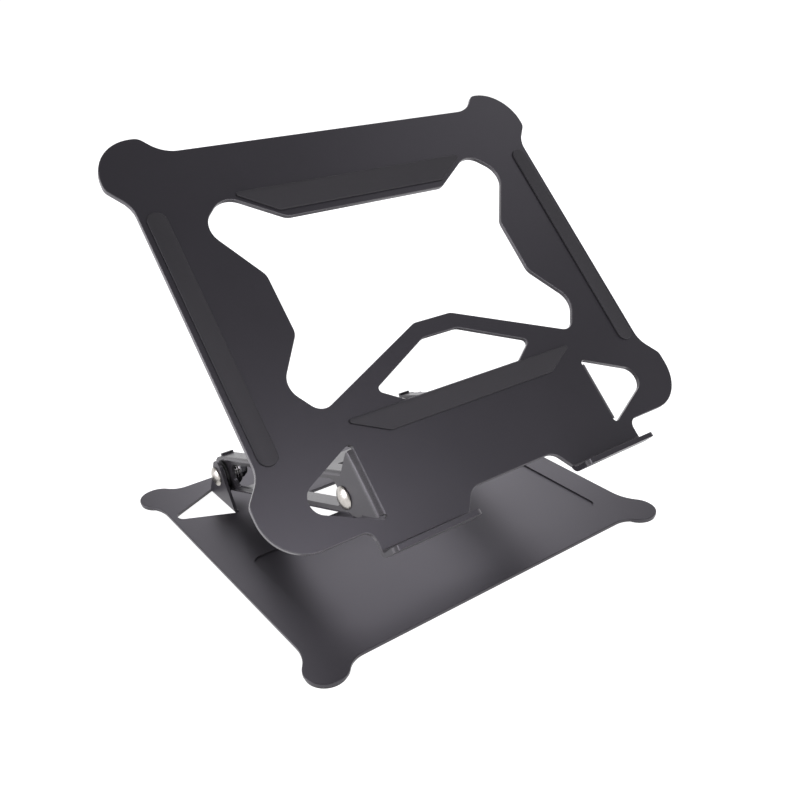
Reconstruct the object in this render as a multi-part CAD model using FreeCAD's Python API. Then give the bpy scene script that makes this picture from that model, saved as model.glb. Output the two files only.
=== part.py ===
import FreeCAD, Part
import math
import os
from FreeCAD import Rotation, Vector

# Folding laptop stand: a base plate, an arm frame and a tray plate, all bent from steel
# sheet and joined by two friction hinges.  Millimetres.  X is across the stand, Y runs from
# front to back, Z is up.  The origin is at the middle of the footprint of the open stand,
# on the plane that the feet rest on.

# ---- driving dimensions -------------------------------------------------------------------
base_thickness = 2.0
base_half_width = 115.8
base_depth = 207.0
base_lobe_out_x = 7.8
base_lobe_out_y = 9.4
base_lobe_radius = 11.4

arm_thickness = 2.0
arm_half_width = 76.5
arm_length = 161.0
arm_angle = 19.8
arm_height = 23.0

tray_thickness = 2.5
tray_half_width = 126.5
tray_depth = 215.4
tray_lobe_out = 9.5
tray_lobe_top = 10.2
tray_lobe_radius = 23.2
tray_tilt = 44.65

bend_radius = 1.0
edge_round = 0.4
foot_height = 1.2
foot_radius = 11.0
pad_height = 1.0

# The lower pivot, from the base plate's straight front edge and from its underside.
lower_pivot_y = 178.2
lower_pivot_z = 18.3
base_ear_outer_x = 81.6
base_ear_tip_z = 29.5

# The upper pivot, in the tray's own plane: distance up the slope from the straight front
# edge, and depth under the top face.
upper_pivot_s = 22.9
upper_pivot_depth = 24.3
tray_ear_outer_x = 80.4
tray_ear_tip_depth = 32.6

# Front lips of the tray.
lip_inner_x = 36.0
lip_outer_x = 87.2
lip_height = 11.0
lip_bend_start = -10.4
lip_bend_radius = 1.5

# Hinge hardware, M6.
screw_radius = 3.0
hole_radius = 3.05
head_radius = 6.15
head_height = 2.8
friction_washer_radius = 9.0
clamp_washer_radius = 8.0
inner_washer_thickness = 1.2
spring_thickness = 1.0
spring_cone = 0.5
spring_count = 3
clamp_washer_thickness = 1.2
nut_flat = 10.0
nut_length = 5.4
screw_tail = 0.8
axial_gap = 0.1

# ---- places that follow from them ---------------------------------------------------------
slope = math.radians(tray_tilt)
rise = math.radians(arm_angle)
upper_pivot_y = lower_pivot_y - arm_length * math.cos(rise)
upper_pivot_z = lower_pivot_z + arm_length * math.sin(rise)
tray_front_y = upper_pivot_y - upper_pivot_s * math.cos(slope) - upper_pivot_depth * math.sin(slope)
tray_front_z = upper_pivot_z - upper_pivot_s * math.sin(slope) + upper_pivot_depth * math.cos(slope)

lip_outer_bend = lip_bend_radius + tray_thickness
lip_face_s = lip_bend_start - lip_outer_bend
front_reach = tray_front_y + lip_face_s * math.cos(slope) - lip_height * math.sin(slope)
rear_reach = base_depth + base_lobe_out_y
middle_y = (front_reach + rear_reach) / 2
sides = {"left": -1, "right": 1}


# ---- helpers ------------------------------------------------------------------------------
def rounded_outline(corners):
    """A closed face in the XY plane from corners (x, y, radius), each rounded by an arc."""
    starts, ends, middles = [], [], []
    count = len(corners)
    for i, (x, y, radius) in enumerate(corners):
        here = Vector(x, y, 0)
        back = (Vector(*corners[i - 1][:2], 0) - here).normalize()
        ahead = (Vector(*corners[(i + 1) % count][:2], 0) - here).normalize()
        half = back.getAngle(ahead) / 2
        reach = radius / math.tan(half)
        inward = (back + ahead).normalize() if radius else Vector(0, 0, 0)
        starts.append(here + back * reach)
        ends.append(here + ahead * reach)
        middles.append(here + inward * (radius / math.sin(half) - radius))
    edges = []
    for i in range(count):
        if corners[i][2]:
            edges.append(Part.Arc(starts[i], middles[i], ends[i]).toShape())
        following = starts[(i + 1) % count]
        if (following - ends[i]).Length > 1e-4:
            edges.append(Part.LineSegment(ends[i], following).toShape())
    return Part.Face(Part.Wire(Part.__sortEdges__(edges)))


def symmetric(right_half):
    """The right half's corners, given from bottom to top, and their mirror image."""
    return right_half + [(-x, y, radius) for x, y, radius in reversed(right_half)]


def plate(outline, bottom, thickness, holes=(), ear_holes=()):
    """A flat sheet with its cut-outs and softened rims, its underside at height bottom.

    The rims of ear_holes stay sharp, because an ear is joined along one side of each."""
    face = rounded_outline(outline)
    for hole in holes:
        face = face.cut(rounded_outline(hole))
    solid = face.extrude(Vector(0, 0, thickness)).Solids[0]
    rims = [edge for edge in solid.Edges if edge.BoundBox.ZLength < 1e-6]
    solid = solid.makeFillet(edge_round, rims)
    for hole in ear_holes:
        solid = solid.cut(rounded_outline(hole).extrude(Vector(0, 0, thickness)))
    solid.translate(Vector(0, 0, bottom))
    return solid


def ring(outer, inner, start, length):
    """A washer along X from start to start + length."""
    axis = Vector(1, 0, 0)
    body = Part.makeCylinder(outer, length, Vector(start, 0, 0), axis)
    return body.cut(Part.makeCylinder(inner, length, Vector(start, 0, 0), axis))


def across(face):
    """Turn a face drawn in (y, z) of the plate's own frame so that it stands square to X."""
    turned = face.copy()
    turned.Placement = FreeCAD.Placement(Vector(0, 0, 0), Rotation(Vector(1, 1, 1), 120))
    return turned


def on_side(shape, side):
    """The shape made for the right side, or its mirror image for the left."""
    if sides[side] > 0:
        return shape
    return shape.mirror(Vector(0, 0, 0), Vector(1, 0, 0))


def place_base(shape):
    """From the base plate's frame (front edge, underside) to the stand's."""
    moved = shape.copy()
    moved.translate(Vector(0, -middle_y, foot_height))
    return moved


def place_arm(shape):
    """From the arm's frame (lower pivot, Y back along the arm, Z square to it)."""
    moved = shape.copy()
    moved.rotate(Vector(0, 0, 0), Vector(1, 0, 0), -arm_angle)
    moved.translate(Vector(0, lower_pivot_y - middle_y, lower_pivot_z + foot_height))
    return moved


def place_tray(shape):
    """From the tray's frame (middle of the front edge, Y up the slope, Z off its top face)."""
    moved = shape.copy()
    moved.rotate(Vector(0, 0, 0), Vector(1, 0, 0), tray_tilt)
    moved.translate(Vector(0, tray_front_y - middle_y, tray_front_z + foot_height))
    return moved


def place_lower_pivot(shape):
    """From the lower pivot's own axis to the stand's frame."""
    moved = shape.copy()
    moved.translate(Vector(0, lower_pivot_y - middle_y, lower_pivot_z + foot_height))
    return moved


def place_upper_pivot(shape):
    """From the upper pivot's own axis to the stand's frame."""
    moved = shape.copy()
    moved.translate(Vector(0, upper_pivot_y - middle_y, upper_pivot_z + foot_height))
    return moved


# ---- hinge ears ---------------------------------------------------------------------------
def ear(outer_x, thickness, outline, pivot_y, pivot_z):
    """A triangular ear bent up from a sheet lying on z = 0, on the right side.

    The sheet's bend starts a bend radius and a thickness inside the ear's outer face, and
    outline is the ear's shape in (y, z)."""
    outer_bend = bend_radius + thickness
    start_x = outer_x - outer_bend
    low = min(y for y, z, radius in outline)
    high = max(y for y, z, radius in outline)
    top = max(z for y, z, radius in outline)
    centre = Vector(start_x, low, outer_bend)
    along = Vector(0, 1, 0)
    bend = Part.makeCylinder(outer_bend, high - low, centre, along)
    bend = bend.cut(Part.makeCylinder(bend_radius, high - low, centre, along))
    quarter = Part.makeBox(outer_bend, high - low, outer_bend, Vector(start_x, low, 0))
    wall = Part.makeBox(thickness, high - low, top - outer_bend,
                        Vector(outer_x - thickness, low, outer_bend))
    strip = bend.common(quarter).fuse(wall)
    profile = across(rounded_outline(outline))
    profile.translate(Vector(start_x, 0, 0))
    shaped = strip.common(profile.extrude(Vector(outer_bend, 0, 0)))
    hole = Part.makeCylinder(hole_radius, 3 * thickness,
                             Vector(outer_x - 2 * thickness, pivot_y, pivot_z), Vector(1, 0, 0))
    return shaped.cut(hole).removeSplitter()


def ear_hole(fold_x, low, high, apex_x, apex_radius, relief):
    """The triangular window that a hinge ear leaves in its sheet, on the right side."""
    half_angle = math.atan((high - low) / 2 / (apex_x - fold_x + apex_radius))
    tip_x = apex_x + apex_radius / math.sin(half_angle) - apex_radius
    return [(fold_x, low, relief), (tip_x, (low + high) / 2, apex_radius),
            (fold_x, high, relief)]


def mirrored(corners):
    """The same outline on the left side, still running the same way round."""
    return [(-x, y, radius) for x, y, radius in reversed(corners)]


# ---- base ---------------------------------------------------------------------------------
base_hole_low = 154.8
base_hole_high = 194.0
base_ear_low = 157.6
base_ear_high = 191.2


def base_outline():
    """A rectangle with a round lobe pushed out at each corner through hollow curves."""
    w = base_half_width
    d = base_depth
    out_x = w + base_lobe_out_x
    out_y = base_lobe_out_y
    lobe = base_lobe_radius
    return symmetric([
        (w - 17.4, 0, 14.0), (w - 9.5, -out_y, lobe), (out_x, -out_y, lobe),
        (out_x, 6.5, lobe), (w, 16.4, 23.8),
        (w, d - 16.4, 23.8), (out_x, d - 6.5, lobe), (out_x, d + out_y, lobe),
        (w - 9.5, d + out_y, lobe), (w - 17.4, d, 14.0)])


def base_plate():
    """Base sheet with a cable opening, a pressed recess and two upright hinge ears."""
    fold_x = base_ear_outer_x - bend_radius - base_thickness
    hole = ear_hole(fold_x, base_hole_low, base_hole_high, 112.3, 5.0, 1.5)
    opening = symmetric([(56.0, 116.3, 8.0), (56.0, 148.7, 8.0)])
    sheet = plate(base_outline(), 0, base_thickness, [opening], [hole, mirrored(hole)])
    recess_depth = 0.9
    recess = rounded_outline(symmetric([(98.0, 21.0, 6.0), (98.0, 105.3, 6.0)]))
    recess.translate(Vector(0, 0, base_thickness - recess_depth))
    sheet = sheet.cut(recess.extrude(Vector(0, 0, base_thickness)))
    tip_y = 177.5
    outline = [(base_ear_low, 0, 0), (base_ear_high, 0, 0),
               (base_ear_high, bend_radius + base_thickness, 3.0),
               (tip_y, base_ear_tip_z + 6.0, 5.2),
               (base_ear_low, bend_radius + base_thickness, 3.0)]
    right_ear = ear(base_ear_outer_x, base_thickness, outline, lower_pivot_y, lower_pivot_z)
    left_ear = on_side(right_ear, "left")
    return place_base(sheet.fuse([right_ear, left_ear]).removeSplitter())


def foot(side, along):
    """A round silicone foot under one lobe of the base."""
    x = sides[side] * (base_half_width + base_lobe_out_x - base_lobe_radius)
    inset = base_lobe_radius - base_lobe_out_y
    y = inset if along == "front" else base_depth - inset
    disc = Part.makeCylinder(foot_radius, foot_height, Vector(x, y, -foot_height))
    rim = [edge for edge in disc.Edges if edge.BoundBox.ZMax < -foot_height + 0.01]
    return place_base(disc.makeFillet(0.5, rim))


# ---- arm ----------------------------------------------------------------------------------
window_start = 14.5
window_end = 149.0
window_half = 7.2
window_corner = 6.0


def arm_side():
    """The right channel of the arm: a web with a long window, two flanges and round ends."""
    half = arm_height / 2
    t = arm_thickness
    outer = arm_half_width
    top_width = 10.0
    corner = 2.2
    inner = outer - t
    section = rounded_outline([
        (outer, -half, corner), (outer, half, corner), (outer - top_width, half, 0),
        (outer - top_width, half - t, 0), (inner, half - t, 0.6), (inner, -half + t, 0.6),
        (inner - 1, -half + t, 0), (inner - 1, -half, 0)])
    section = section.copy()
    section.rotate(Vector(0, 0, 0), Vector(1, 0, 0), 90)
    channel = section.extrude(Vector(0, -arm_length, 0))
    across_x = Vector(1, 0, 0)
    ends = [Part.makeCylinder(half, t, Vector(inner, y, 0), across_x)
            for y in (0, -arm_length)]
    cheek = channel.fuse(ends)
    for low, high in ((-window_start, 0), (-arm_length, -window_end)):
        cheek = cheek.cut(Part.makeBox(top_width, high - low, t, Vector(inner - top_width, low, -half)))
    lip = Part.makeBox(top_width - t, t, t + 1.4, Vector(outer - top_width, 0, half - t))
    cheek = cheek.fuse(lip)
    window = across(rounded_outline([
        (-window_end, -window_half, window_corner), (-window_start, -window_half, window_corner),
        (-window_start, window_half, window_corner), (-window_end, window_half, window_corner)]))
    window.translate(Vector(inner - 0.1, 0, 0))
    cheek = cheek.cut(window.extrude(Vector(t + 0.2, 0, 0)))
    for y in (0, -arm_length):
        cheek = cheek.cut(Part.makeCylinder(hole_radius, 2 * t, Vector(inner - 1, y, 0), across_x))
    return cheek.removeSplitter()


def arm_frame():
    """Two channels joined by a floor sheet that is open in the middle."""
    half = arm_height / 2
    edge = arm_half_width - arm_thickness
    floor = plate(
        symmetric([(edge, -window_end, 0), (edge, -window_start, 0)]), -half, arm_thickness,
        [symmetric([(62.0, -126.0, 8.0), (62.0, -44.0, 8.0)])])
    right = arm_side()
    return place_arm(floor.fuse([right, on_side(right, "left")]).removeSplitter())


# ---- tray ---------------------------------------------------------------------------------
tray_hole_low = 0.9
tray_hole_high = 42.5
tray_ear_low = 4.6
tray_ear_high = 38.8


def tray_outline():
    """A rectangle with broad lobes at its corners and two necks for the front lips."""
    w = tray_half_width
    d = tray_depth
    out = w + tray_lobe_out
    top = d + tray_lobe_top
    lobe = tray_lobe_radius
    return symmetric([
        (28.0, 0, 9.0), (lip_inner_x - 0.6, lip_bend_start, 0), (lip_outer_x, lip_bend_start, 0),
        (lip_outer_x, 0, 5.0), (out, 0, lobe), (out, 30.0, 6.0), (w, 41.5, 15.0),
        (w, 187.2, 15.0), (out, 198.6, 6.0), (out, top, lobe), (w - 17.8, top, 6.0),
        (w - 26.8, d, 18.0)])


def tray_window():
    """The large opening: a rectangle with a lobe towards each corner and a raised sill."""
    return symmetric([
        (12.2, 90.8, 8.0), (83.3, 59.9, 8.0), (95.8, 77.8, 11.0), (77.4, 102.4, 8.0),
        (77.4, 136.5, 8.0), (98.2, 168.9, 12.0), (80.6, 185.2, 12.0), (51.2, 166.3, 8.0)])


def tray_small_opening():
    """The low six-sided opening under the sill."""
    return symmetric([(38.2, 53.2, 4.0), (51.8, 62.4, 2.2), (11.4, 81.5, 9.0)])


def lip():
    """One front lip on the right side: the sheet turned straight up through a bend."""
    width = lip_outer_x - lip_inner_x
    centre = Vector(lip_inner_x, lip_bend_start, lip_bend_radius)
    along = Vector(1, 0, 0)
    bend = Part.makeCylinder(lip_outer_bend, width, centre, along)
    bend = bend.cut(Part.makeCylinder(lip_bend_radius, width, centre, along))
    quarter = Part.makeBox(width, lip_outer_bend, lip_outer_bend,
                           Vector(lip_inner_x, lip_face_s, -tray_thickness))
    outline = rounded_outline([
        (lip_inner_x, lip_bend_radius, 0), (lip_outer_x, lip_bend_radius, 0),
        (lip_outer_x, lip_height, 2.5), (lip_inner_x, lip_height, 2.5)])
    wall = outline.extrude(Vector(0, 0, tray_thickness))
    wall.rotate(Vector(0, 0, 0), along, 90)
    wall.translate(Vector(0, lip_face_s + tray_thickness, 0))
    return bend.common(quarter).fuse(wall)


def tray_plate():
    """Tray sheet with its openings, two hinge ears turned down and two front lips."""
    fold_x = tray_ear_outer_x - bend_radius - tray_thickness
    hole = ear_hole(fold_x, tray_hole_low, tray_hole_high, 110.6, 8.0, 2.2)
    sheet = plate(tray_outline(), -tray_thickness, tray_thickness,
                  [tray_window(), tray_small_opening()], [hole, mirrored(hole)])
    tip = tray_ear_tip_depth
    outline = [(tray_ear_low, 0, 0), (tray_ear_high, 0, 0),
               (tray_ear_high, bend_radius + tray_thickness, 3.0),
               (upper_pivot_s, tip + 9.0, 8.2),
               (tray_ear_low, bend_radius + tray_thickness, 3.0)]
    right_ear = ear(tray_ear_outer_x, tray_thickness, outline, upper_pivot_s, upper_pivot_depth)
    right_ear = right_ear.mirror(Vector(0, 0, 0), Vector(0, 0, 1))
    right_lip = lip()
    pieces = [right_ear, right_lip, on_side(right_ear, "left"), on_side(right_lip, "left")]
    return place_tray(sheet.fuse(pieces).removeSplitter())


def tray_pad(outline):
    """A silicone strip bonded to the tray's top face, with its upper rim rounded."""
    strip = rounded_outline(outline).extrude(Vector(0, 0, pad_height)).Solids[0]
    rim = [edge for edge in strip.Edges if edge.BoundBox.ZMin > pad_height - 0.01]
    return place_tray(strip.makeFillet(0.4, rim))


def side_pad(side):
    """The long strip beside the window, with half-round ends."""
    low, high = 43.8, 181.6
    inner, outer = 113.2, 123.4
    end = (outer - inner) / 2 - 0.01
    outline = [(inner, low, end), (outer, low, end), (outer, high, end), (inner, high, end)]
    return tray_pad(outline if side == "right" else mirrored(outline))


def top_pad():
    """The flat-bottomed strip above the window."""
    return tray_pad(symmetric([(53.6, 170.4, 3.0), (73.0, 183.2, 1.5), (73.0, 185.2, 1.0)]))


def bottom_pad():
    """The strip between the small opening and the front edge."""
    return tray_pad(symmetric([(54.0, 40.6, 3.0), (73.0, 50.6, 1.5), (73.0, 52.6, 1.0)]))


# ---- hinge hardware, made for the right side about the pivot axis --------------------------
web_outer_x = arm_half_width
web_inner_x = arm_half_width - arm_thickness
inner_washer_x = web_inner_x - axial_gap - inner_washer_thickness
spring_stack = spring_count * (spring_thickness + spring_cone)
clamp_washer_x = inner_washer_x - spring_stack - clamp_washer_thickness
nut_x = clamp_washer_x - nut_length


def pivot_screw(ear_outer_x):
    """A domed screw through the ear, the arm and the clamping stack."""
    rim = 0.7
    cap_radius = (head_radius ** 2 + (head_height - rim) ** 2) / (2 * (head_height - rim))
    start = nut_x - screw_tail
    base_point = Vector(ear_outer_x, 0, 0)
    profile = Part.Wire([
        Part.LineSegment(base_point, base_point + Vector(0, head_radius, 0)).toShape(),
        Part.LineSegment(base_point + Vector(0, head_radius, 0),
                         base_point + Vector(rim, head_radius, 0)).toShape(),
        Part.Arc(base_point + Vector(rim, head_radius, 0),
                 base_point + Vector(head_height - cap_radius
                                     + cap_radius * math.cos(dome_half_angle(cap_radius)),
                                     cap_radius * math.sin(dome_half_angle(cap_radius)), 0),
                 base_point + Vector(head_height, 0, 0)).toShape(),
        Part.LineSegment(base_point + Vector(head_height, 0, 0), base_point).toShape()])
    head = Part.Face(profile).revolve(Vector(0, 0, 0), Vector(1, 0, 0), 360)
    shank = Part.makeCylinder(screw_radius, ear_outer_x - start, Vector(start, 0, 0),
                              Vector(1, 0, 0))
    return head.fuse(shank).removeSplitter()


def dome_half_angle(cap_radius):
    """Half the angle from the dome's pole to its rim."""
    return math.asin(head_radius / cap_radius) / 2


def disc_springs():
    """Three cone washers stacked the same way round on the screw."""
    discs = []
    for i in range(spring_count):
        start = inner_washer_x - (i + 1) * (spring_thickness + spring_cone)
        outer = friction_washer_radius - 0.2
        inner = hole_radius
        corners = [Vector(start, outer, 0), Vector(start + spring_thickness, outer, 0),
                   Vector(start + spring_thickness + spring_cone, inner, 0),
                   Vector(start + spring_cone, inner, 0), Vector(start, outer, 0)]
        section = Part.Face(Part.makePolygon(corners))
        discs.append(section.revolve(Vector(0, 0, 0), Vector(1, 0, 0), 360))
    return Part.makeCompound(discs)


def lock_nut():
    """A hexagon lock nut with a round collar at its far end."""
    collar = 1.4
    hexagon = Part.makePolygon([
        Vector(0, nut_flat / math.sqrt(3) * math.cos(math.radians(60 * i)),
               nut_flat / math.sqrt(3) * math.sin(math.radians(60 * i))) for i in range(7)])
    body = Part.Face(hexagon).extrude(Vector(nut_length - collar, 0, 0))
    body.translate(Vector(nut_x + collar, 0, 0))
    ring_end = Part.makeCylinder(nut_flat / 2 - 0.4, collar, Vector(nut_x, 0, 0), Vector(1, 0, 0))
    bore = Part.makeCylinder(hole_radius, nut_length, Vector(nut_x, 0, 0), Vector(1, 0, 0))
    return body.fuse(ring_end).cut(bore).removeSplitter()


def hinge_pieces(ear_outer_x, ear_thickness, thrust_washer):
    """The pieces of one hinge, from the screw's head inwards."""
    ear_inner_x = ear_outer_x - ear_thickness
    gap = ear_inner_x - web_outer_x - axial_gap
    outer_thickness = gap / 2 if thrust_washer else gap
    pieces = {
        "pivot_screw": pivot_screw(ear_outer_x),
        "outer_friction_washer": ring(friction_washer_radius, hole_radius,
                                      web_outer_x + axial_gap, outer_thickness),
        "inner_friction_washer": ring(friction_washer_radius, hole_radius,
                                      inner_washer_x, inner_washer_thickness),
        "disc_springs": disc_springs(),
        "clamp_washer": ring(clamp_washer_radius, hole_radius,
                             clamp_washer_x, clamp_washer_thickness),
        "lock_nut": lock_nut()}
    if thrust_washer:
        pieces["thrust_washer"] = ring(clamp_washer_radius, hole_radius,
                                       ear_inner_x - outer_thickness, outer_thickness)
    return pieces


def build():
    """Every node's name and its shape in the stand's frame."""
    nodes = {"base_plate": base_plate(), "arm_frame": arm_frame(), "tray_plate": tray_plate(),
             "tray_pad_top": top_pad(), "tray_pad_bottom": bottom_pad()}
    lower = hinge_pieces(base_ear_outer_x, base_thickness, True)
    upper = hinge_pieces(tray_ear_outer_x, tray_thickness, False)
    for side in sides:
        nodes["tray_pad_" + side] = side_pad(side)
        for along in ("front", "rear"):
            nodes["foot_" + along + "_" + side] = foot(side, along)
        for name, shape in lower.items():
            nodes["lower_" + name + "_" + side] = place_lower_pivot(on_side(shape, side))
        for name, shape in upper.items():
            nodes["upper_" + name + "_" + side] = place_upper_pivot(on_side(shape, side))
    return nodes


os.makedirs("parts", exist_ok=True)
for node, shape in build().items():
    if not shape.isValid():
        raise ValueError(node + " is not a valid shape")
    shape.exportStep(os.path.join("parts", node + ".step"))
    box = shape.BoundBox
    print("%-36s solids %d  volume %9.1f  x %.1f %.1f  y %.1f %.1f  z %.1f %.1f" % (
        node, len(shape.Solids), shape.Volume, box.XMin, box.XMax, box.YMin, box.YMax,
        box.ZMin, box.ZMax))
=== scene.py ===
import math

import bmesh
import bpy
import numpy as np
from mathutils import Matrix, Vector


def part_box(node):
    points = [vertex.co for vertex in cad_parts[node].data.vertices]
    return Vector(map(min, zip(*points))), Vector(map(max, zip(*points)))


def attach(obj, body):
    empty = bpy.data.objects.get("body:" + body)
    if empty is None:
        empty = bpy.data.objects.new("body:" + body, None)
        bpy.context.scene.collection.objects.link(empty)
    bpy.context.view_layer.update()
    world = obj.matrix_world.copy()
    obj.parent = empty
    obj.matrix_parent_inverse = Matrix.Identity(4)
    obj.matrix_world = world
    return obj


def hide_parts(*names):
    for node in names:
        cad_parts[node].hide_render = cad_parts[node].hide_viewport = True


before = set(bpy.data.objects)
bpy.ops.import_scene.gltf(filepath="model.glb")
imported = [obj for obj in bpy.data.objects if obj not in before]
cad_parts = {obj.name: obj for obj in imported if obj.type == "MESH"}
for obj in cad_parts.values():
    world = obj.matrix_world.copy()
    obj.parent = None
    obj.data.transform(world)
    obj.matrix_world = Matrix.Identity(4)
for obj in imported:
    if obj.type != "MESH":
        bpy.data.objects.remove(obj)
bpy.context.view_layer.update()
MM = 0.001

# ---- The desk and the light ---------------------------------------------------------------
# A pale, glowing desk runs out to a white horizon, and the surround above it fades
# to grey.  Four soft boxes, in front, high at the right, behind and at the left, give the
# black coat its slow gradients, and draw a thin light line along the cut edges together
# with a painted highlight in the coat.


def grid_faces(rows, columns, close_rows=False, close_columns=False):
    """Quads between the points of a rows x columns grid, joined round where it closes."""
    i = np.arange(rows if close_rows else rows - 1)[:, None]
    j = np.arange(columns if close_columns else columns - 1)[None, :]
    i_next = (i + 1) % rows
    j_next = (j + 1) % columns
    corners = [i * columns + j, i_next * columns + j,
               i_next * columns + j_next, i * columns + j_next]
    return np.stack(np.broadcast_arrays(*corners), axis=-1).reshape(-1, 4)


def mesh_object(name, points, faces):
    """A smooth-shaded object at the origin whose mesh has these points and faces."""
    mesh = bpy.data.meshes.new(name)
    mesh.from_pydata(points.tolist(), [], [list(face) for face in faces])
    mesh.polygons.foreach_set("use_smooth", np.ones(len(mesh.polygons), bool))
    mesh.update()
    made = bpy.data.objects.new(name, mesh)
    bpy.context.scene.collection.objects.link(made)
    return made


desk_reach = 60.0
desk_drop = 0.05 * MM
desk_line = np.linspace(-desk_reach, desk_reach, 3)
desk_x, desk_y = np.meshgrid(desk_line, desk_line, indexing="ij")
desk_points = np.stack([desk_x, desk_y, np.full_like(desk_x, -desk_drop)], axis=-1)
desk = mesh_object("desk", desk_points.reshape(-1, 3), grid_faces(3, 3))


class Wire:
    """One value in a material; arithmetic on it adds the Math nodes for the expression."""

    def __init__(self, finish, socket):
        self.finish = finish
        self.socket = socket

    def calc(self, operation, *values):
        return self.finish.node("ShaderNodeMath", {"operation": operation},
                                dict(enumerate(values)))

    def __add__(self, other):
        return self.calc("ADD", self, other)

    def __sub__(self, other):
        return self.calc("SUBTRACT", self, other)

    def __rsub__(self, other):
        return self.calc("SUBTRACT", other, self)

    def __mul__(self, other):
        return self.calc("MULTIPLY", self, other)

    __radd__ = __add__
    __rmul__ = __mul__


class Finish:
    """A material under construction.  node() adds any node and gives back its output."""

    def __init__(self, name):
        self.material = bpy.data.materials.new(name)
        self.material.use_nodes = True
        self.tree = self.material.node_tree
        self.shader = self.tree.nodes["Principled BSDF"]
        self.place = self.node("ShaderNodeTexCoord", output="Object")

    def join(self, value, socket):
        """Links a wire to a socket, or sets the socket to a plain value."""
        if isinstance(value, Wire):
            self.tree.links.new(value.socket, socket)
        else:
            socket.default_value = value

    def node(self, kind, settings=None, values=None, output=0):
        """Adds a node: its settings first (stops for a ramp), then its sockets."""
        made = self.tree.nodes.new(kind)
        for key, setting in (settings or {}).items():
            if key == "stops":
                ramp = made.color_ramp
                for i, (place, grey) in enumerate(setting):
                    stop = ramp.elements[i] if i < 2 else ramp.elements.new(place)
                    stop.position = place
                    stop.color = (grey, grey, grey, 1)
            else:
                setattr(made, key, setting)
        for key, value in (values or {}).items():
            self.join(value, made.inputs[key])
        return Wire(self, made.outputs[output])

    def noise(self, scale, detail=2.0):
        """Smooth noise from 0 to 1, with scale features in each metre."""
        return self.node("ShaderNodeTexNoise", None,
                         {"Vector": self.place, "Scale": scale, "Detail": detail})

    def tint(self, factor, first, second):
        """A colour between two others."""
        return self.node("ShaderNodeMix", {"data_type": "RGBA"},
                         {0: factor, 6: (*first, 1), 7: (*second, 1)}, output=2)

    def bump(self, height, depth):
        """A normal that follows a height from 0 to 1 over that depth in metres."""
        return self.node("ShaderNodeBump", None,
                         {"Height": height, "Distance": depth, "Strength": 1.0})

    def surface(self, **values):
        """Sets or links the shader's sockets, their names written with underscores."""
        for key, value in values.items():
            self.join(value, self.shader.inputs[key.replace("_", " ")])
        return self.material


def desk_finish():
    """White laminate on a light table: faintly cloudy, and glowing so that it stays pale
    under the base."""
    finish = Finish("white_laminate")
    pale = finish.tint(finish.noise(3.0), (0.44, 0.44, 0.44), (0.47, 0.47, 0.47))
    return finish.surface(Base_Color=pale,
                          Emission_Color=(1, 1, 1, 1), Emission_Strength=0.96,
                          Roughness=0.9, Specular_IOR_Level=0.1)


desk.data.materials.append(desk_finish())

world = bpy.data.worlds.new("surround")
bpy.context.scene.world = world
world.use_nodes = True
surround = world.node_tree
height = surround.nodes.new("ShaderNodeSeparateXYZ")
fade = surround.nodes.new("ShaderNodeMapRange")
direction = surround.nodes.new("ShaderNodeTexCoord")
surround.links.new(direction.outputs["Generated"], height.inputs[0])
surround.links.new(height.outputs["Z"], fade.inputs["Value"])
surround.nodes["Background"].inputs["Color"].default_value = (1, 1, 1, 1)
surround.links.new(fade.outputs["Result"], surround.nodes["Background"].inputs["Strength"])
horizon_light, zenith_light = 1.0, 0.34
fade_height = 0.45
fade.interpolation_type = "SMOOTHSTEP"
fade.inputs["From Min"].default_value = 0.0
fade.inputs["From Max"].default_value = fade_height
fade.inputs["To Min"].default_value = horizon_light
fade.inputs["To Max"].default_value = zenith_light
bpy.context.scene.view_settings.view_transform = "Standard"
lamp_tint = (1.0, 0.965, 1.05)


def soft_box(name, place, target, width, power):
    """A square area light at place that faces target."""
    light = bpy.data.lights.new(name, "AREA")
    light.size = width
    light.color = lamp_tint
    light.energy = power
    lamp = bpy.data.objects.new(name, light)
    lamp.location = place
    lamp.rotation_euler = (Vector(target) - Vector(place)).to_track_quat("-Z", "Y").to_euler()
    bpy.context.scene.collection.objects.link(lamp)


soft_box("near_box", (0.24, -0.95, 0.85), (-0.05, -0.08, 0.10), 0.6, 5.4)
soft_box("high_right_box", (0.96, -0.10, 1.20), (0.11, 0.06, 0.22), 0.5, 0.6)
soft_box("far_box", (0.75, 1.10, 0.80), (0.0, -0.05, 0.0), 1.0, 7.6)
soft_box("left_box", (-1.3, 0.4, 0.35), (-0.1, 0.0, 0.1), 0.7, 11.0)

# ---- The camera ---------------------------------------------------------------------------
# A 40 mm lens close to the stand, from the left and a little above, turned two degrees
# about its own axis.  Its place is measured from the middle of the stand's footprint.

eye = Vector((-275.8, -391.4, 300.2)) * MM
eye_right = Vector((0.8037, -0.5942, -0.0330))
eye_up = Vector((0.2751, 0.3218, 0.9060))
eye_back = Vector((-0.5277, -0.7372, 0.4221))
lens = bpy.data.cameras.new("camera")
lens.sensor_width = 36.0
lens.lens = 40.46
camera = bpy.data.objects.new("camera", lens)
camera.matrix_world = (Matrix.Translation(eye)
                       @ Matrix((eye_right, eye_up, eye_back)).transposed().to_4x4())
bpy.context.scene.collection.objects.link(camera)
bpy.context.scene.camera = camera

# ---- Base, arm and tray: coated steel sheet -----------------------------------------------
# Three laser-cut and bent blanks of 2 to 2.5 mm steel, powder coated black after bending.
# The coat is satin with a very fine orange peel.  Its cut edges are painted a lighter grey,
# a painted highlight that stands in for the light they catch.

weld_distance = 1e-6
smooth_angle = math.radians(35)
broad_area = 60 * MM * MM
broad_share = 1e6
rim_width = 2.6 * MM
plane_step = 0.02 * MM
plane_turns = 2000
along_normal = 0.9995


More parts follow.
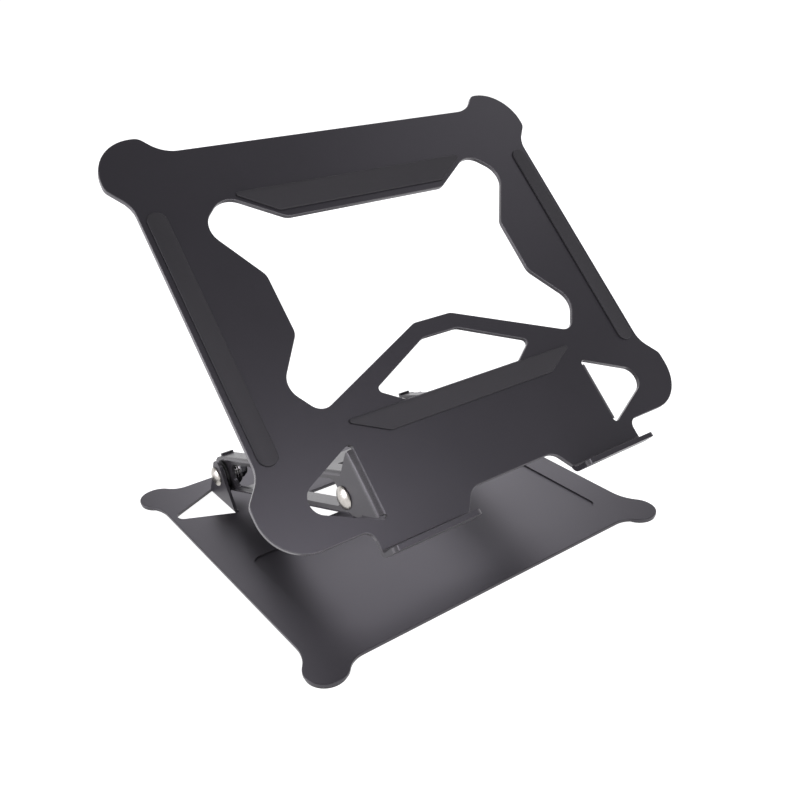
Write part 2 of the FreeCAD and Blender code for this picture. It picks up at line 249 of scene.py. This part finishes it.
def welded(name, node):
    """The node's surface as one skin, its coincident points joined, and its triangles."""
    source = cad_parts[node].data
    points = np.empty(len(source.vertices) * 3)
    source.vertices.foreach_get("co", points)
    source.calc_loop_triangles()
    triangles = np.empty(len(source.loop_triangles) * 3, np.int32)
    source.loop_triangles.foreach_get("vertices", triangles)
    keys = np.round(points.reshape(-1, 3) / weld_distance).astype(np.int64)
    _, first, place = np.unique(keys, axis=0, return_index=True, return_inverse=True)
    triangles = place.reshape(-1)[triangles].reshape(-1, 3)
    distinct = ((triangles[:, 0] != triangles[:, 1]) & (triangles[:, 1] != triangles[:, 2])
                & (triangles[:, 2] != triangles[:, 0]))
    triangles = triangles[distinct]
    corners = points.reshape(-1, 3)[first]
    return mesh_object(name, corners, triangles), corners, triangles


def corner_normals(triangles, normals, weights, broad, count):
    """A shading normal for each triangle corner.

    Corners of a broad face keep the face's own normal.  Every other corner takes the
    weighted mean of the faces round its point that lie within smooth_angle of its own
    face; broad faces outweigh the rest, so a bend or a rolled edge runs into a flat face
    without a crease."""
    points = triangles.reshape(-1)
    owner = np.repeat(np.arange(len(triangles)), 3)
    order = np.argsort(points, kind="stable")
    share = np.bincount(points, minlength=count)
    start = np.concatenate([[0], np.cumsum(share)[:-1]])
    repeats = share[points]
    mine = np.repeat(np.arange(len(points)), repeats)
    step = np.arange(len(mine)) - np.repeat(np.cumsum(repeats) - repeats, repeats)
    other = owner[order[start[points[mine]] + step]]
    own = owner[mine]
    near = np.einsum("ij,ij->i", normals[own], normals[other]) > math.cos(smooth_angle)
    weight = near * weights[other] * np.where(broad[other], broad_share, 1.0)
    total = np.stack([np.bincount(mine, weight * normals[other, k], len(points))
                      for k in range(3)], axis=-1)
    total /= np.linalg.norm(total, axis=1)[:, None]
    return np.where(broad[owner][:, None], normals[owner], total)


def coated_sheet(name, node, body, face_normals, finish):
    """The node's smooth skin on its body, with the cut edges marked for a painted highlight.

    Triangles in one plane count as one flat.  A flat is broad when its area is over
    broad_area.  The corner attribute rim is 1 on flats whose area over their longest edge
    is less than rim_width and that do not lie along one of the sheet's face_normals."""
    made, corners, triangles = welded(name, node)
    a, b, c = (corners[triangles[:, k]] for k in range(3))
    across = np.cross(b - a, c - a)
    area = np.linalg.norm(across, axis=1)
    normals = across / area[:, None]
    longest = np.max([np.linalg.norm(b - a, axis=1), np.linalg.norm(c - b, axis=1),
                      np.linalg.norm(a - c, axis=1)], axis=0)
    facing = np.abs(normals @ np.array(face_normals).T).max(axis=1) > along_normal
    plane = np.column_stack([normals * plane_turns, np.sum(a * normals, axis=1) / plane_step])
    _, flat_of = np.unique(np.round(plane), axis=0, return_inverse=True)
    flat_of = flat_of.reshape(-1)
    flat_area = np.bincount(flat_of, area / 2)[flat_of]
    flat_length = np.zeros(flat_of.max() + 1)
    np.maximum.at(flat_length, flat_of, longest)
    rim = (flat_area / flat_length[flat_of] < rim_width) & ~facing
    mark = made.data.attributes.new("rim", "FLOAT", "CORNER")
    mark.data.foreach_set("value", np.repeat(rim.astype(float), 3))
    shading = corner_normals(triangles, normals, area, facing | (flat_area > broad_area),
                             len(corners))
    made.data.normals_split_custom_set(shading.tolist())
    made.data.materials.append(finish)
    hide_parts(node)
    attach(made, body)


def powder_coat(name, colour, light_colour, edge_highlight_colour, roughness):
    """Satin black powder coat.

    Height: fine peel of about 1 mm cells plus grains a quarter of that.  Colour: slow
    Colour: slow cloudiness between two blacks, then a painted highlight of lighter grey
    on the rims, broken up by noise.
    Roughness: the base value with slow and fine variation, a little lower on rims."""
    finish = Finish(name)
    peel = finish.noise(900.0, 3.0)
    grain = finish.noise(3800.0, 1.0)
    cloud = finish.noise(14.0, 3.0)
    rim = finish.node("ShaderNodeAttribute", {"attribute_name": "rim"}, output="Fac")
    broken = finish.node("ShaderNodeValToRGB", {"stops": [(0.35, 0.80), (0.7, 1.0)]},
                         {0: finish.noise(260.0, 2.0)})
    # The lighter grey on the rims is a painted highlight, standing in for light caught by the cut
    # edges.
    painted_edge_highlight = rim * finish.node("ShaderNodeRGBToBW", None, {0: broken})
    base = finish.tint(cloud, colour, light_colour)
    mixed = finish.node("ShaderNodeMix", {"data_type": "RGBA"},
                        {0: painted_edge_highlight, 6: base, 7: (*edge_highlight_colour, 1)}, output=2)
    rough = (cloud - 0.5) * 0.10 + (grain - 0.5) * 0.12 + roughness - painted_edge_highlight * 0.08
    return finish.surface(Base_Color=mixed, Roughness=rough, Specular_Tint=(0.96, 0.94, 1.0, 1),
                          Normal=finish.bump(peel + grain * 0.5, 0.018 * MM))


tray_tilt = math.radians(44.65)
arm_rise = math.radians(19.8)
tray_normal = (0.0, -math.sin(tray_tilt), math.cos(tray_tilt))
tray_slope = (0.0, math.cos(tray_tilt), math.sin(tray_tilt))
arm_normal = (0.0, math.sin(arm_rise), math.cos(arm_rise))
flat = (0.0, 0.0, 1.0)
sideways = (1.0, 0.0, 0.0)
# Each coat's last colour is the painted highlight on its cut edges: bright on the tray, faint on
# the base.
base_coat = powder_coat("base_coat", (0.0215, 0.0196, 0.0240), (0.0285, 0.0262, 0.0320),
                        (0.032, 0.030, 0.034), 0.41)
arm_coat = powder_coat("arm_coat", (0.017, 0.016, 0.018), (0.023, 0.021, 0.024),
                       (0.060, 0.057, 0.062), 0.30)
tray_coat = powder_coat("tray_coat", (0.0160, 0.0146, 0.0185), (0.0215, 0.0196, 0.0245),
                        (0.085, 0.082, 0.087), 0.34)
coated_sheet("base_sheet", "base_plate", "base", [flat], base_coat)
coated_sheet("arm_sheet", "arm_frame", "arm", [arm_normal, sideways], arm_coat)
coated_sheet("tray_sheet", "tray_plate", "tray", [tray_normal], tray_coat)

# ---- Tray pads: moulded silicone strips ---------------------------------------------------
# Four soft strips are bonded to the tray's top face, one along each side of the window.
# Each is moulded 1 mm thick with a rolled upper edge and a fine matt grain.

pad_height = 1.0 * MM
pad_roll = 0.45 * MM
cad_roll = 0.4 * MM
low_strip_front, low_strip_back = 40.6, 52.6


def rounded_loop(corners, steps):
    """Points round a closed outline of (x, y, radius) corners, steps + 1 on each arc.

    An arc's centre lies on its corner's bisector, radius / sin(half angle) from it, and
    the points run from one tangent direction to the other."""
    loop = []
    count = len(corners)
    for i in range(count):
        here = np.array(corners[i][:2])
        radius = corners[i][2]
        back = np.array(corners[i - 1][:2]) - here
        ahead = np.array(corners[(i + 1) % count][:2]) - here
        back, ahead = back / np.linalg.norm(back), ahead / np.linalg.norm(ahead)
        half = math.acos(np.clip(back @ ahead, -1, 1)) / 2
        bisector = (back + ahead) / np.linalg.norm(back + ahead)
        centre = here + bisector * radius / math.sin(half)
        middle = math.atan2(-bisector[1], -bisector[0])
        swing = math.pi / 2 - half
        turn = np.linspace(-swing, swing, steps + 1)
        if back[0] * ahead[1] - back[1] * ahead[0] > 0:
            turn = -turn
        loop.append(centre + radius * np.stack([np.cos(middle + turn), np.sin(middle + turn)], -1))
    return np.concatenate(loop)


def outward(loop):
    """Unit normals of a counter-clockwise closed loop, from its neighbours' chord."""
    along = np.roll(loop, -1, axis=0) - np.roll(loop, 1, axis=0)
    along /= np.linalg.norm(along, axis=1)[:, None]
    return np.stack([along[:, 1], -along[:, 0]], axis=-1)


def tray_frame():
    """The matrix from the tray's plane (x, slope, height) to the stand.

    The low strip's front end fixes it: its lowest point is on the tray, and its foremost
    point is on the rolled upper edge, side ahead of the lowest."""
    low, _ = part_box("tray_pad_bottom")
    side = ((pad_height - cad_roll) * math.sin(tray_tilt)
            + cad_roll * (1 - math.cos(tray_tilt)))
    start = Vector((0, low.y + side, low.z)) - Vector(tray_slope) * low_strip_front * MM
    turn = Matrix((Vector(sideways), Vector(tray_slope), Vector(tray_normal))).transposed()
    return np.array(Matrix.Translation(start) @ turn.to_4x4())


tray_matrix = tray_frame()


def on_tray(points):
    """Points of the tray's plane, placed on the stand."""
    return points @ tray_matrix[:3, :3].T + tray_matrix[:3, 3]


def silicone(name, colour, light_colour):
    """Matt black silicone with a fine moulded grain and a little dust-grey cloudiness."""
    finish = Finish(name)
    grain = finish.noise(2600.0, 2.0)
    cloud = finish.noise(45.0, 3.0)
    return finish.surface(Base_Color=finish.tint(cloud, colour, light_colour),
                          Specular_Tint=(0.97, 0.95, 1.0, 1),
                          Roughness=0.56 + (grain - 0.5) * 0.2 + (cloud - 0.5) * 0.1,
                          Normal=finish.bump(grain, 0.03 * MM))


pad_silicone = silicone("pad_silicone", (0.0155, 0.0147, 0.0168), (0.0215, 0.0203, 0.0230))


def tray_pad(name, node, corners):
    """A strip whose section rises straight, rolls over a quarter circle and runs flat.

    Ring k of the roll is inset by roll * (1 - cos t) and stands roll * (1 - sin t) short of
    the top, for t from 0 to a right angle."""
    loop = rounded_loop(corners, 8) * MM
    normals = outward(loop)
    turn = np.linspace(0, math.pi / 2, 7)
    inset = np.concatenate([[0.0], pad_roll * (1 - np.cos(turn))])
    height = np.concatenate([[0.0], pad_height - pad_roll * (1 - np.sin(turn))])
    flatwise = loop[None] - normals[None] * inset[:, None, None]
    rings = np.concatenate([flatwise, np.broadcast_to(height[:, None, None],
                                                      (len(height), len(loop), 1))], axis=-1)
    count = len(loop)
    faces = [tuple(face) for face in grid_faces(len(height), count, close_columns=True)[:, ::-1]]
    top = (len(height) - 1) * count
    faces.append(tuple(range(top, top + count)))
    faces.append(tuple(range(count - 1, -1, -1)))
    made = mesh_object(name, on_tray(rings.reshape(-1, 3)), faces)
    made.data.set_sharp_from_angle(angle=math.radians(20))
    made.data.materials.append(pad_silicone)
    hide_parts(node)
    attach(made, "tray")


def both_halves(right_half):
    """A right half outline from bottom to top, and its mirror image."""
    return right_half + [(-x, y, radius) for x, y, radius in reversed(right_half)]


side_low, side_high = 43.8, 181.6
side_inner, side_outer = 113.2, 123.4
side_end = (side_outer - side_inner) / 2 - 0.05
tray_pad("top_strip", "tray_pad_top",
         both_halves([(53.6, 170.4, 3.0), (73.0, 183.2, 1.5), (73.0, 185.2, 1.0)]))
tray_pad("bottom_strip", "tray_pad_bottom",
         both_halves([(54.0, low_strip_front, 3.0), (73.0, 50.6, 1.5),
                      (73.0, low_strip_back, 1.0)]))
tray_pad("right_strip", "tray_pad_right",
         [(side_inner, side_low, side_end), (side_outer, side_low, side_end),
          (side_outer, side_high, side_end), (side_inner, side_high, side_end)])
tray_pad("left_strip", "tray_pad_left",
         [(-side_outer, side_low, side_end), (-side_inner, side_low, side_end),
          (-side_inner, side_high, side_end), (-side_outer, side_high, side_end)])

# ---- Feet: turned silicone discs ----------------------------------------------------------
# A round foot is bonded under each of the base's four lobes.  It is 1.2 mm thick, its lower
# rim is rounded, and three shallow rings are moulded in the face that grips the desk.


def turned(name, profile, axis, centre, segments, closed=True):
    """A profile of (along, radius) points carried round an axis through centre.

    Point (a, r) goes to centre + a * axis + r * (cos t * u + sin t * v) for t round the
    circle, u and v being square to the axis.  A closed profile makes a ring; an open one
    starts and ends on the axis, where its end points are welded into poles."""
    profile = np.asarray(profile, float)
    axis = np.asarray(axis, float)
    u = np.array([axis[1], axis[2], axis[0]])
    v = np.cross(axis, u)
    angle = np.linspace(0, 2 * math.pi, segments, endpoint=False)
    round_it = np.cos(angle)[:, None] * u + np.sin(angle)[:, None] * v
    points = (np.asarray(centre, float) + profile[:, None, :1] * axis
              + profile[:, None, 1:] * round_it[None])
    made = mesh_object(name, points.reshape(-1, 3),
                       grid_faces(len(profile), segments, closed, True))
    shut(made)
    return made


def shut(made):
    """Joins coincident points and turns every face outwards."""
    skin = bmesh.new()
    skin.from_mesh(made.data)
    bmesh.ops.remove_doubles(skin, verts=skin.verts, dist=1e-7)
    bmesh.ops.recalc_face_normals(skin, faces=skin.faces)
    skin.to_mesh(made.data)
    skin.free()
    made.data.set_sharp_from_angle(angle=math.radians(38))


def arc(centre, radius, start, end, steps=6):
    """Points (along, radius) on a circle, from one angle in degrees to another."""
    turn = np.radians(np.linspace(start, end, steps + 1))
    return np.stack([centre[0] + radius * np.cos(turn), centre[1] + radius * np.sin(turn)], -1)


foot_silicone = silicone("foot_silicone", (0.018, 0.017, 0.018), (0.026, 0.025, 0.026))
ring_pitch = 2.4 * MM
ring_depth = 0.18 * MM
foot_roll = 0.5 * MM
plain_border = 0.7 * MM
for foot in [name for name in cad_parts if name.startswith("foot_")]:
    low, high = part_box(foot)
    middle = (low + high) / 2
    outer = (high.x - low.x) / 2
    thick = high.z - low.z
    reach = np.linspace(0, outer - plain_border, 60)
    groove = ring_depth * (0.5 - 0.5 * np.cos(2 * math.pi * reach / ring_pitch)) ** 4
    under = np.stack([groove, reach], -1)
    edge = arc((foot_roll, outer - foot_roll), foot_roll, 180, 90)
    top = np.array([[thick, outer], [thick, 0.0]])
    disc = turned(foot.replace("foot", "grip"), np.concatenate([under, edge, top]),
                  (0, 0, 1), (middle.x, middle.y, low.z), 72, closed=False)
    disc.data.materials.append(foot_silicone)
    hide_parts(foot)
    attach(disc, "base")

# ---- Hinge screws: domed, plated and polished ---------------------------------------------
# Each of the four hinges turns on an M6 screw with a smooth low dome, pushed in from the
# outside.  It is nickel plated and bright, with faint turning marks round the dome, and its
# thread shows past the nut on the inside.

screw_radius = 3.0 * MM
thread_pitch = 1.0 * MM
thread_depth = 0.45 * MM
thread_rows, thread_columns = 90, 48
shank_radius = 2.94 * MM
core_radius, core_length = 2.45 * MM, 7.4 * MM
hinge_segments = 72


def turned_metal(name, colour, dark_colour, roughness, marks, centre):
    """Metal turned about the hinge's axis.

    Height: rings, the sine of the distance from the axis times marks.  Colour and
    roughness: cloudy handling smears and small specks."""
    finish = Finish(name)
    centred = finish.node("ShaderNodeMapping", {"vector_type": "POINT"},
                          {"Vector": finish.place, "Location": (0, -centre[1], -centre[2])})
    squared = finish.node("ShaderNodeVectorMath", {"operation": "MULTIPLY"},
                          {0: centred, 1: (0, 1, 1)})
    distance = finish.node("ShaderNodeVectorMath", {"operation": "LENGTH"},
                           {0: squared}, output="Value")
    angle = distance * marks
    rings = angle.calc("SINE", angle)
    smear = finish.noise(420.0, 3.0)
    speck = finish.noise(2400.0, 1.0)
    return finish.surface(Base_Color=finish.tint(smear, dark_colour, colour), Metallic=1.0,
                          Roughness=roughness + (smear - 0.5) * 0.12 + rings * 0.03,
                          Normal=finish.bump(rings * 0.5 + speck, 0.004 * MM))


def pivot_axis(level):
    """The hinge line's (y, z), the middle of the outer friction washer at that hinge."""
    low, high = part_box(level + "_outer_friction_washer_left")
    return (0.0, (low.y + high.y) / 2, (low.z + high.z) / 2)


levels = {"lower": "base", "upper": "tray"}
sides = {"left": -1, "right": 1}


def hinge_place(node):
    """The way out along the node's hinge line (-1 left, 1 right), the point of that line
    at the node's inner face, and the node's length."""
    level, side = node.split("_", 1)[0], sides[node.rsplit("_", 1)[1]]
    low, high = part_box(node)
    inside = min(abs(low.x), abs(high.x))
    return side, np.array(pivot_axis(level)) + np.array((side * inside, 0, 0)), high.x - low.x


def hinge_piece(name, node, profile, finish, body, closed=True):
    """A turned piece in its node's place: its profile starts at the node's inner face."""
    side, centre, _ = hinge_place(node)
    made = turned(name, profile, (side, 0, 0), centre, hinge_segments, closed)
    made.data.materials.append(finish)
    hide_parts(node)
    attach(made, body)


def screw_profile(length):
    """Half section of a screw from its tail's centre to the dome's centre.

    The dome is a circle arc of half chord head_radius and height head_height - rim, with a
    small rolled rim under it.  The core of core_radius runs inside the thread."""
    head_radius, head_height, rim = 6.15 * MM, 2.8 * MM, 0.7 * MM
    seat = length - head_height
    rise = head_height - rim
    dome = (head_radius ** 2 + rise ** 2) / (2 * rise)
    spread = math.degrees(math.asin((head_radius - 0.2 * MM) / dome))
    tail = [[0, 0], [0, 2.1 * MM], [0.35 * MM, core_radius], [core_length, core_radius]]
    neck = [[core_length, shank_radius], [seat, shank_radius],
            [seat, head_radius - 0.25 * MM]]
    roll = arc((seat + 0.3 * MM, head_radius - 0.3 * MM), 0.3 * MM, 180 - 60, 60, 5)
    cap = arc((length - dome, 0), dome, spread, 0, 20)
    return np.concatenate([tail, neck, roll, cap])


def thread(name, node, body, finish):
    """The screw's threaded tail: radius = 3 mm less depth times a raised cosine of
    along / pitch - turn / full circle, over a grid of along and turn."""
    side, centre, _ = hinge_place(node)
    along = np.linspace(0.3 * MM, 7.5 * MM, thread_rows)[:, None]
    turn = np.linspace(0, 2 * math.pi, thread_columns, endpoint=False)[None, :]
    wave = 0.5 - 0.5 * np.cos(2 * math.pi * along / thread_pitch - turn)
    fade = np.clip(along / (0.9 * MM), 0.85, 1.0)
    radius = (screw_radius - thread_depth * wave) * fade
    points = np.stack([centre[0] + side * along + 0 * turn, centre[1] + radius * np.cos(turn),
                       centre[2] + radius * np.sin(turn)], axis=-1)
    faces = [tuple(face) for face in grid_faces(thread_rows, thread_columns, close_columns=True)]
    count = thread_rows * thread_columns
    faces += [tuple(range(thread_columns)), tuple(range(count - thread_columns, count))]
    made = mesh_object(name, points.reshape(-1, 3), faces)
    shut(made)
    made.data.materials.append(finish)
    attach(made, body)


for level, body in levels.items():
    polished = turned_metal("polished_screw_" + level, (0.56, 0.54, 0.51), (0.33, 0.31, 0.28),
                            0.29, 16000.0, pivot_axis(level))
    for side in sides:
        node = level + "_pivot_screw_" + side
        low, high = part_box(node)
        hinge_piece("domed_screw_" + level + "_" + side, node, screw_profile(high.x - low.x),
                    polished, body, closed=False)
        thread("screw_thread_" + level + "_" + side, node, body, polished)

# ---- Washers: nylon for friction, steel for load ------------------------------------------
# Dark nylon rings slide on either side of each arm lug.  Plain steel washers back them at the
# lower ears and under the lock nuts; their edges are rolled over by stamping.


def ring_profile(inner, outer, thick, roll):
    """A washer's section: a rectangle whose four corners are rolled by a small radius."""
    return np.concatenate([
        arc((thick - roll, outer - roll), roll, 0, 90, 4),
        arc((roll, outer - roll), roll, 90, 180, 4),
        arc((roll, inner + roll), roll, 180, 270, 4),
        arc((thick - roll, inner + roll), roll, 270, 360, 4)])


def nylon(name):
    """Dark nylon with faint mould cloudiness and a dull sheen."""
    finish = Finish(name)
    cloud = finish.noise(300.0, 3.0)
    dark = finish.tint(cloud, (0.035, 0.035, 0.036), (0.06, 0.06, 0.061))
    return finish.surface(Base_Color=dark,
                          Roughness=0.42 + (cloud - 0.5) * 0.2,
                          Normal=finish.bump(finish.noise(3000.0), 0.02 * MM))


bore = 3.05 * MM
friction_outer, steel_outer = 9.0 * MM, 8.0 * MM
washer_roll = 0.2 * MM
black_nylon = nylon("black_nylon")
for level, body in levels.items():
    stamped = turned_metal("stamped_washer_" + level, (0.30, 0.30, 0.31), (0.20, 0.20, 0.21),
                           0.34, 9000.0, pivot_axis(level))
    rings = {"outer_friction_washer": (friction_outer, black_nylon, "nylon"),
             "inner_friction_washer": (friction_outer, black_nylon, "nylon"),
             "clamp_washer": (steel_outer, stamped, "dark_steel")}
    if level == "lower":
        rings["thrust_washer"] = (steel_outer, stamped, "plain_steel")
    for ring, (outer, finish, slot) in rings.items():
        for side in sides:
            node = level + "_" + ring + "_" + side
            low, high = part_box(node)
            hinge_piece(ring + "_ring_" + level + "_" + side, node,
                        ring_profile(bore, outer, high.x - low.x, washer_roll), finish,
                        body)

# ---- Disc springs and lock nuts -----------------------------------------------------------
# Three hardened cone washers keep each hinge clamped, and a black-oxide lock nut with a nylon
# insert holds them.  The nut's hexagon has its points turned off at both ends.

spring_thick, spring_cone = 1.0 * MM, 0.5 * MM
spring_outer = 8.8 * MM
nut_flat = 10.0 * MM
nut_collar = 1.4 * MM


def cone_profile(start):
    """One cone washer's section: a slanted strip, its outer end spring_cone nearer the
    nut than its inner end, with rolled ends."""
    roll = 0.18 * MM
    outer = np.concatenate([
        arc((start + spring_thick - roll, spring_outer - roll), roll, 0, 90, 3),
        arc((start + roll, spring_outer - roll), roll, 90, 180, 3)])
    inner = np.concatenate([
        arc((start + spring_cone + roll, bore + roll), roll, 180, 270, 3),
        arc((start + spring_cone + spring_thick - roll, bore + roll), roll, 270, 360, 3)])
    return np.concatenate([outer, inner])


def spring_stack(name, node, body, finish):
    """Three cones on the screw, one behind another; the first stands for the node."""
    side, centre, _ = hinge_place(node)
    for i in range(3):
        disc = turned(name + "_%d" % i, cone_profile(i * (spring_thick + spring_cone)),
                      (side, 0, 0), centre, hinge_segments)
        disc.data.materials.append(finish)
        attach(disc, body)
        if i == 0:
            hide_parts(node)


def nut_body(name, node, body, finish):
    """A hexagon nut with a round collar.

    The radius at angle t is half the flat / cos(t within 30 degrees), cut down by a 30
    degree cone at both ends and by the collar's own radius beyond it."""
    side, centre, length = hinge_place(node)
    turn = np.linspace(0, 2 * math.pi, 96, endpoint=False)[None, :]
    sector = (turn + math.pi / 6) % (math.pi / 3) - math.pi / 6
    hexagon = nut_flat / 2 / np.cos(sector)
    collar_radius = nut_flat / 2 - 0.4 * MM
    along = np.array([0, 0.15, 0.5, 1.15, 1.38, 1.4, 1.55, 1.8, 2.2, 3.5, 4.6, 4.9, 5.15, 5.4])
    along = along[:, None] * MM
    cone = (nut_flat / 2 - 0.1 * MM
            + np.minimum(along - nut_collar, length - along) * math.sqrt(3))
    outside = np.minimum(hexagon, cone)
    rounded = collar_radius - 0.35 * MM * np.clip(1 - along / (0.5 * MM), 0, 1) ** 2
    outside = np.where(along < nut_collar - 0.01 * MM, rounded + 0 * turn, outside)
    inside_wall = np.full((2, turn.shape[1]), bore)
    radius = np.concatenate([outside, inside_wall])
    place = np.concatenate([along, [[length], [0.0]]])
    spoke = turn + math.pi / 2
    points = np.stack([centre[0] + side * place + 0 * turn,
                       centre[1] + radius * np.cos(spoke), centre[2] + radius * np.sin(spoke)], -1)
    made = mesh_object(name, points.reshape(-1, 3),
                       grid_faces(len(place), turn.shape[1], True, True))
    shut(made)
    made.data.materials.append(finish)
    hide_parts(node)
    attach(made, body)
    insert = turned(name.replace("nut", "nut_insert"),
                    arc((0.0, bore + 0.75 * MM), 0.55 * MM, 0, 330, 11), (side, 0, 0),
                    centre + np.array((side * 0.35 * MM, 0, 0)), 48)
    insert.data.materials.append(black_nylon)
    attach(insert, body)


for level, body in levels.items():
    hardened = turned_metal("hardened_spring_" + level, (0.42, 0.41, 0.40), (0.28, 0.27, 0.27),
                            0.26, 7000.0, pivot_axis(level))
    oxide = turned_metal("black_oxide_" + level, (0.07, 0.07, 0.074), (0.04, 0.04, 0.042),
                         0.38, 5000.0, pivot_axis(level))
    for side in sides:
        spring_stack("cone_spring_" + level + "_" + side, level + "_disc_springs_" + side,
                     body, hardened)
        nut_body("nut_" + level + "_" + side, level + "_lock_nut_" + side, body, oxide)
